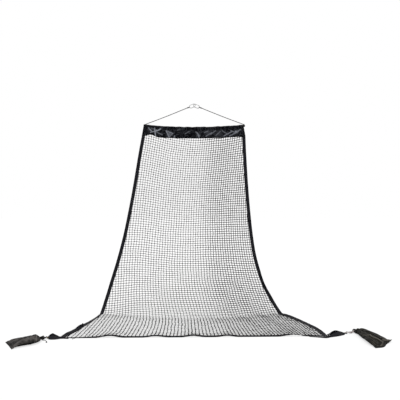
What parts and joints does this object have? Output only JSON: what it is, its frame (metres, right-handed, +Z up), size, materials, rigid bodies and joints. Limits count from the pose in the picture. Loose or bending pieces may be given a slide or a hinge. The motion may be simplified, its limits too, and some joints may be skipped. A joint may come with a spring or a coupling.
{
  "type": "basketball return net",
  "caption": "Netting curtain on a jointed pole hung by cords and snap hooks, with a floor apron and sand bags tied to its corners, that returns a shot ball",
  "frame": {"origin": "the point of the support bar's axis that both hooks hang on, 3.046 m above the floor", "axes": "+X along the pole to the right, +Y to the back of the curtain, +Z up; the netting runs out on the floor to -Y"},
  "size_m": [4.4493, 1.8524, 3.0687],
  "materials": {
    "twine": "knotted matt black polyester twine",
    "coated_fabric": "glossy coated black fabric",
    "webbing": "woven matt black webbing",
    "cord": "braided black cord",
    "white_cord": "braided white cord",
    "bag_fabric": "black fabric, soft sheen",
    "sand": "loose dry sand",
    "pole_steel": "zinc-plated tube",
    "cap_plastic": "black moulded plastic",
    "hook_steel": "polished steel rod",
    "eyelet_brass": "pressed brass"
  },
  "bodies": {
    "curtain": {"netting": "twine", "top_sleeve": "coated_fabric", "left_side_binding": "webbing", "right_side_binding": "webbing", "bottom_binding": "webbing", "left_peg_loop": "cord", "left_corner_tail": "webbing", "right_corner_tail": "webbing", "left_eyelet": "eyelet_brass", "right_eyelet": "eyelet_brass", "pole_left_tube": "pole_steel", "pole_middle_tube": "pole_steel", "pole_right_tube": "pole_steel", "left_spigot": "pole_steel", "right_spigot": "pole_steel", "left_end_cap": "cap_plastic", "right_end_cap": "cap_plastic", "left_hanging_cord": "cord", "right_hanging_cord": "cord", "left_pole_knot": "cord", "right_pole_knot": "cord", "left_hook_knot": "cord", "right_hook_knot": "cord", "left_hook_body": "hook_steel", "right_hook_body": "hook_steel", "left_hook_pin": "hook_steel", "right_hook_pin": "hook_steel"},
    "left_gate": {"left_hook_gate": "hook_steel", "left_hook_spring": "hook_steel"},
    "right_gate": {"right_hook_gate": "hook_steel", "right_hook_spring": "hook_steel"},
    "left_bag": {"left_bag_shell": "bag_fabric", "left_sand_fill": "sand", "left_neck_tie": "cord", "left_tie_cord": "cord", "left_tie_stopper": "cord"},
    "right_bag": {"right_bag_shell": "bag_fabric", "right_sand_fill": "sand", "right_neck_tie": "white_cord", "right_tie_cord": "white_cord", "right_tie_stopper": "white_cord"}
  },
  "joints": [
    {"name": "left_gate_hinge", "type": "hinge", "parent": "curtain", "child": "left_gate", "pos_m": [-0.05533, -0.0065, 0.00185], "axis": [0, 1, 0], "range_deg": [0, 40], "stiffness_Nm_per_rad": 0.04, "springref_deg": -34.38},
    {"name": "right_gate_hinge", "type": "hinge", "parent": "curtain", "child": "right_gate", "pos_m": [0.05533, 0.0065, 0.00185], "axis": [0, -1, 0], "range_deg": [0, 40], "stiffness_Nm_per_rad": 0.04, "springref_deg": -34.38},
    {"name": "left_bag_swivel", "type": "hinge", "parent": "curtain", "child": "left_bag", "pos_m": [-1.716, -1.4301, -3.031], "axis": [0, 0, 1], "range_deg": [-30, 30]},
    {"name": "right_bag_swivel", "type": "hinge", "parent": "curtain", "child": "right_bag", "pos_m": [1.862, -1.2221, -3.031], "axis": [0, 0, 1], "range_deg": [-30, 30]}
  ]
}
